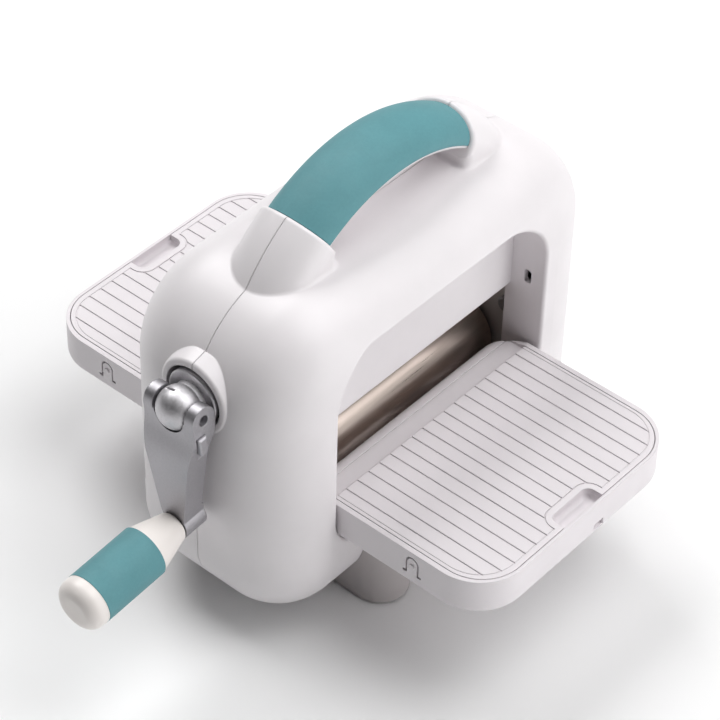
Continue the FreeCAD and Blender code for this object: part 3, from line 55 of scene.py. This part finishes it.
# Finishes: tints as screen colours, grain and lines as noise scales, depth and edge in metres
MOULDED = {
    "shell_white": dict(tint=(231, 227, 229), rough=(0.38, 0.48), edge=0.0008, coat=0.06),
    "tray_grey": dict(tint=(231, 226, 229), rough=(0.45, 0.56), grain=1800.0, depth=0.00003, edge=0.0004),
    "cream_plastic": dict(tint=(238, 232, 228), rough=(0.34, 0.44), edge=0.0006),
    # frame_paint: its light grey tint is painted shade, darker than the pale side frames so they read as
    # shaded inside the throat
    "frame_paint": dict(tint=(196, 192, 190), rough=(0.40, 0.52), grain=900.0, depth=0.00004, edge=0.0004),
    "foot_grey": dict(tint=(186, 180, 180), rough=(0.48, 0.58), grain=1500.0, depth=0.00003, edge=0.0006),
}
BLASTED = dict(rough=(0.44, 0.58), lines=(1100.0, 1100.0, 1100.0), depth=0.00003, spread=0.12)
METALS = {
    "satin_metal": dict(tint=(176, 174, 178), edge=0.0005, **BLASTED),
    # a brighter copy of satin_metal: painted light for the light the crank's hub catches
    "hub_lit_metal": dict(tint=(206, 204, 207), edge=0.0004, **BLASTED),
    "roller_steel": dict(tint=(208, 194, 185), rough=(0.27, 0.37), lines=(25.0, 1600.0, 1600.0)),
    "shaft_steel": dict(tint=(178, 178, 182), rough=(0.28, 0.40), lines=(900.0, 900.0, 900.0)),
    "screw_steel": dict(tint=(165, 165, 168), rough=(0.32, 0.45), lines=(700.0, 700.0, 700.0)),
    "gear_steel": dict(tint=(135, 135, 138), rough=(0.42, 0.55), lines=(500.0, 500.0, 500.0)),
    "bush_bronze": dict(tint=(186, 146, 96), rough=(0.35, 0.48), lines=(600.0, 600.0, 600.0)),
}
TEAL = (93, 147, 154)
RUBBER = (52, 52, 53)


def set_camera():
    azimuth = math.radians(CAMERA_AZIMUTH)
    roll = math.radians(CAMERA_ROLL)
    back = Vector(CAMERA_BACK).normalized()
    level = Vector((math.cos(azimuth), math.sin(azimuth), 0.0))
    upright = back.cross(level).normalized()
    level = upright.cross(back).normalized()
    right = level * math.cos(roll) + upright * math.sin(roll)
    up = upright * math.cos(roll) - level * math.sin(roll)
    place = Vector(CAMERA_TARGET) * MM + back * CAMERA_DISTANCE * MM
    data = bpy.data.cameras.new("camera")
    data.sensor_fit = "HORIZONTAL"
    data.sensor_width = SENSOR_WIDTH
    data.lens = FOCAL_LENGTH
    data.clip_start = CLIP_NEAR
    data.clip_end = CLIP_FAR
    camera = bpy.data.objects.new("camera", data)
    camera.matrix_world = Matrix((
        (right.x, up.x, back.x, place.x),
        (right.y, up.y, back.y, place.y),
        (right.z, up.z, back.z, place.z),
        (0, 0, 0, 1),
    ))
    scene.collection.objects.link(camera)
    scene.camera = camera


# Building blocks of the procedural materials
class Material:
    def __init__(self, name):
        self.material = bpy.data.materials.new(name)
        self.material.use_nodes = True
        self.tree = self.material.node_tree
        self.shader = self.tree.nodes["Principled BSDF"]
        self.coords = self.add("ShaderNodeTexCoord").outputs["Object"]

    def add(self, kind, **settings):
        made = self.tree.nodes.new(kind)
        for key, value in settings.items():
            setattr(made, key, value)
        return made

    def link(self, a, b):
        self.tree.links.new(a, b)

    def drive(self, name, socket):
        self.link(socket, self.shader.inputs[name])

    def set(self, **values):
        for key, value in values.items():
            self.shader.inputs[key.replace("_", " ")].default_value = value

    def stretched(self, scale):
        mapping = self.add("ShaderNodeMapping")
        mapping.inputs["Scale"].default_value = scale
        self.link(self.coords, mapping.inputs["Vector"])
        return mapping.outputs["Vector"]

    def noise(self, scale, detail=3.0, roughness=0.5, vector=None):
        made = self.add("ShaderNodeTexNoise")
        made.inputs["Scale"].default_value = scale
        made.inputs["Detail"].default_value = detail
        made.inputs["Roughness"].default_value = roughness
        self.link(vector or self.coords, made.inputs["Vector"])
        return made.outputs["Fac"]

    def ramp(self, value, *stops):
        made = self.add("ShaderNodeValToRGB")
        for element, (place, colour) in zip(made.color_ramp.elements, stops):
            element.position = place
            element.color = (*colour, 1.0)
        self.link(value, made.inputs["Fac"])
        return made.outputs["Color"]

    def range(self, value, low, high, start=0.3, end=0.7):
        made = self.add("ShaderNodeMapRange")
        made.inputs["From Min"].default_value = start
        made.inputs["From Max"].default_value = end
        made.inputs["To Min"].default_value = low
        made.inputs["To Max"].default_value = high
        self.link(value, made.inputs["Value"])
        return made.outputs["Result"]

    def multiplied(self, a, b):
        made = self.add("ShaderNodeMix", data_type="RGBA", blend_type="MULTIPLY")
        made.inputs["Factor"].default_value = 1.0
        first, second = [s for s in made.inputs if s.type == "RGBA"]
        self.link(a, first)
        self.link(b, second)
        return next(s for s in made.outputs if s.type == "RGBA")

    def bump(self, height, strength, distance, edge):
        made = self.add("ShaderNodeBump")
        made.inputs["Strength"].default_value = strength
        made.inputs["Distance"].default_value = distance
        self.link(height, made.inputs["Height"])
        bevel = self.add("ShaderNodeBevel", samples=6)
        bevel.inputs["Radius"].default_value = edge
        self.link(bevel.outputs["Normal"], made.inputs["Normal"])
        self.drive("Normal", made.outputs["Normal"])


def linear(tint):
    def one(c):
        c /= 255.0
        return c / 12.92 if c <= 0.04045 else ((c + 0.055) / 1.055) ** 2.4
    return tuple(one(c) for c in tint)


def shade(colour, factor):
    return tuple(min(1.0, c * factor) for c in colour)


# Moulded plastic: faint clouding, uneven gloss, a fine grain and softened edges
def moulded(name, tint, rough, grain=1400.0, depth=0.00002, edge=0.0005, coat=0.0):
    m = Material(name)
    base = linear(tint)
    cloud = m.noise(38.0, 4.0, 0.55)
    m.drive("Base Color", m.ramp(cloud, (0.25, shade(base, 0.965)), (0.75, shade(base, 1.02))))
    m.drive("Roughness", m.range(m.noise(120.0, 5.0, 0.6), *rough))
    m.bump(m.noise(grain, 2.0, 0.5), 0.35, depth, edge)
    m.set(Coat_Weight=coat, Coat_Roughness=0.25, Specular_IOR_Level=0.5)
    return m.material


# Soft-touch grip: matt, speckled, with a slight sheen
def soft_touch(name, tint):
    m = Material(name)
    base = linear(tint)
    cloud = m.noise(55.0, 5.0, 0.6)
    fine = m.noise(900.0, 3.0, 0.6)
    body = m.ramp(cloud, (0.25, shade(base, 0.93)), (0.75, shade(base, 1.06)))
    speck = m.ramp(fine, (0.3, OFF_WHITE), (0.7, WHITE))
    m.drive("Base Color", m.multiplied(body, speck))
    m.drive("Roughness", m.range(m.noise(160.0, 4.0, 0.6), 0.55, 0.66))
    m.bump(fine, 0.4, 0.00003, 0.0005)
    m.set(Sheen_Weight=0.05, Sheen_Roughness=0.5, Specular_IOR_Level=0.35)
    return m.material


# Metal: brushed or blasted according to how its lines are stretched
def metal(name, tint, rough, lines, depth=0.000012, edge=0.0003, spread=0.06):
    m = Material(name)
    base = linear(tint)
    brushed = m.noise(1.0, 4.0, 0.65, m.stretched(lines))
    cloud = m.noise(70.0, 3.0, 0.5)
    tone = m.ramp(brushed, (0.25, shade(base, 1.0 - spread)), (0.75, shade(base, 1.0 + spread)))
    stain = m.ramp(cloud, (0.3, OFF_WHITE), (0.7, WHITE))
    m.drive("Base Color", m.multiplied(tone, stain))
    m.drive("Roughness", m.range(brushed, *rough))
    m.bump(brushed, 0.3, depth, edge)
    m.set(Metallic=1.0)
    return m.material


def rubber(name, tint):
    m = Material(name)
    base = linear(tint)
    cloud = m.noise(220.0, 4.0, 0.6)
    m.drive("Base Color", m.ramp(cloud, (0.3, shade(base, 0.85)), (0.7, shade(base, 1.12))))
    m.drive("Roughness", m.range(m.noise(400.0, 3.0), 0.7, 0.85))
    m.bump(m.noise(1500.0, 2.0), 0.5, 0.00004, 0.0004)
    return m.material


# Each node takes the finish of its slot; the crank's hub gets a brighter copy of the arm's metal, painted
# light for the light the hub catches
def dress():
    looks = {"teal_soft": soft_touch("teal_soft", TEAL), "pad_rubber": rubber("pad_rubber", RUBBER)}
    for name, finish in MOULDED.items():
        looks[name] = moulded(name, **finish)
    for name, finish in METALS.items():
        looks[name] = metal(name, **finish)
    for part in frame["record"]["subparts"]:
        mesh = nodes[part["node"]].data
        mesh.materials.clear()
        mesh.materials.append(looks[part["material_slot"]])
    # painted light: the hub takes the brighter copy of the arm's metal
    nodes["crank_hub"].data.materials[0] = looks["hub_lit_metal"]


# Pale floor that glows far from the object, so that it stays pale to the horizon
def floor():
    m = Material("studio_floor")
    cloud = m.noise(3.0, 2.0)
    m.drive("Base Color", m.ramp(cloud, (0.3, (0.93, 0.93, 0.93)), (0.7, (0.95, 0.95, 0.95))))
    m.drive("Roughness", m.range(cloud, 0.75, 0.85))
    away = m.add("ShaderNodeVectorMath", operation="LENGTH")
    m.link(m.coords, away.inputs[0])
    m.drive("Emission Strength", m.range(away.outputs["Value"], 0.0, GLOW_MOST, GLOW_START, GLOW_FULL))
    m.set(Emission_Color=(*WHITE, 1.0))
    corners = [(-1, -1), (1, -1), (1, 1), (-1, 1)]
    mesh = bpy.data.meshes.new("studio_floor")
    mesh.from_pydata([(x * FLOOR_HALF, y * FLOOR_HALF, 0) for x, y in corners], [], [(0, 1, 2, 3)])
    mesh.materials.append(m.material)
    made = bpy.data.objects.new("studio_floor", mesh)
    scene.collection.objects.link(made)


def studio():
    world = bpy.data.worlds.new("studio")
    world.use_nodes = True
    sky = world.node_tree.nodes["Background"]
    sky.inputs["Color"].default_value = (*WHITE, 1.0)
    sky.inputs["Strength"].default_value = SKY_STRENGTH
    scene.world = world
    for name, place, power in LAMPS:
        data = bpy.data.lights.new(name, "AREA")
        data.shape = "SQUARE"
        data.size = LAMP_SIZE
        data.energy = power
        lamp = bpy.data.objects.new(name, data)
        lamp.location = place
        lamp.rotation_euler = (Vector(LAMP_AIM) - Vector(place)).to_track_quat("-Z", "Y").to_euler()
        scene.collection.objects.link(lamp)


dress()
set_camera()
floor()
studio()
scene.view_settings.view_transform = "Standard"
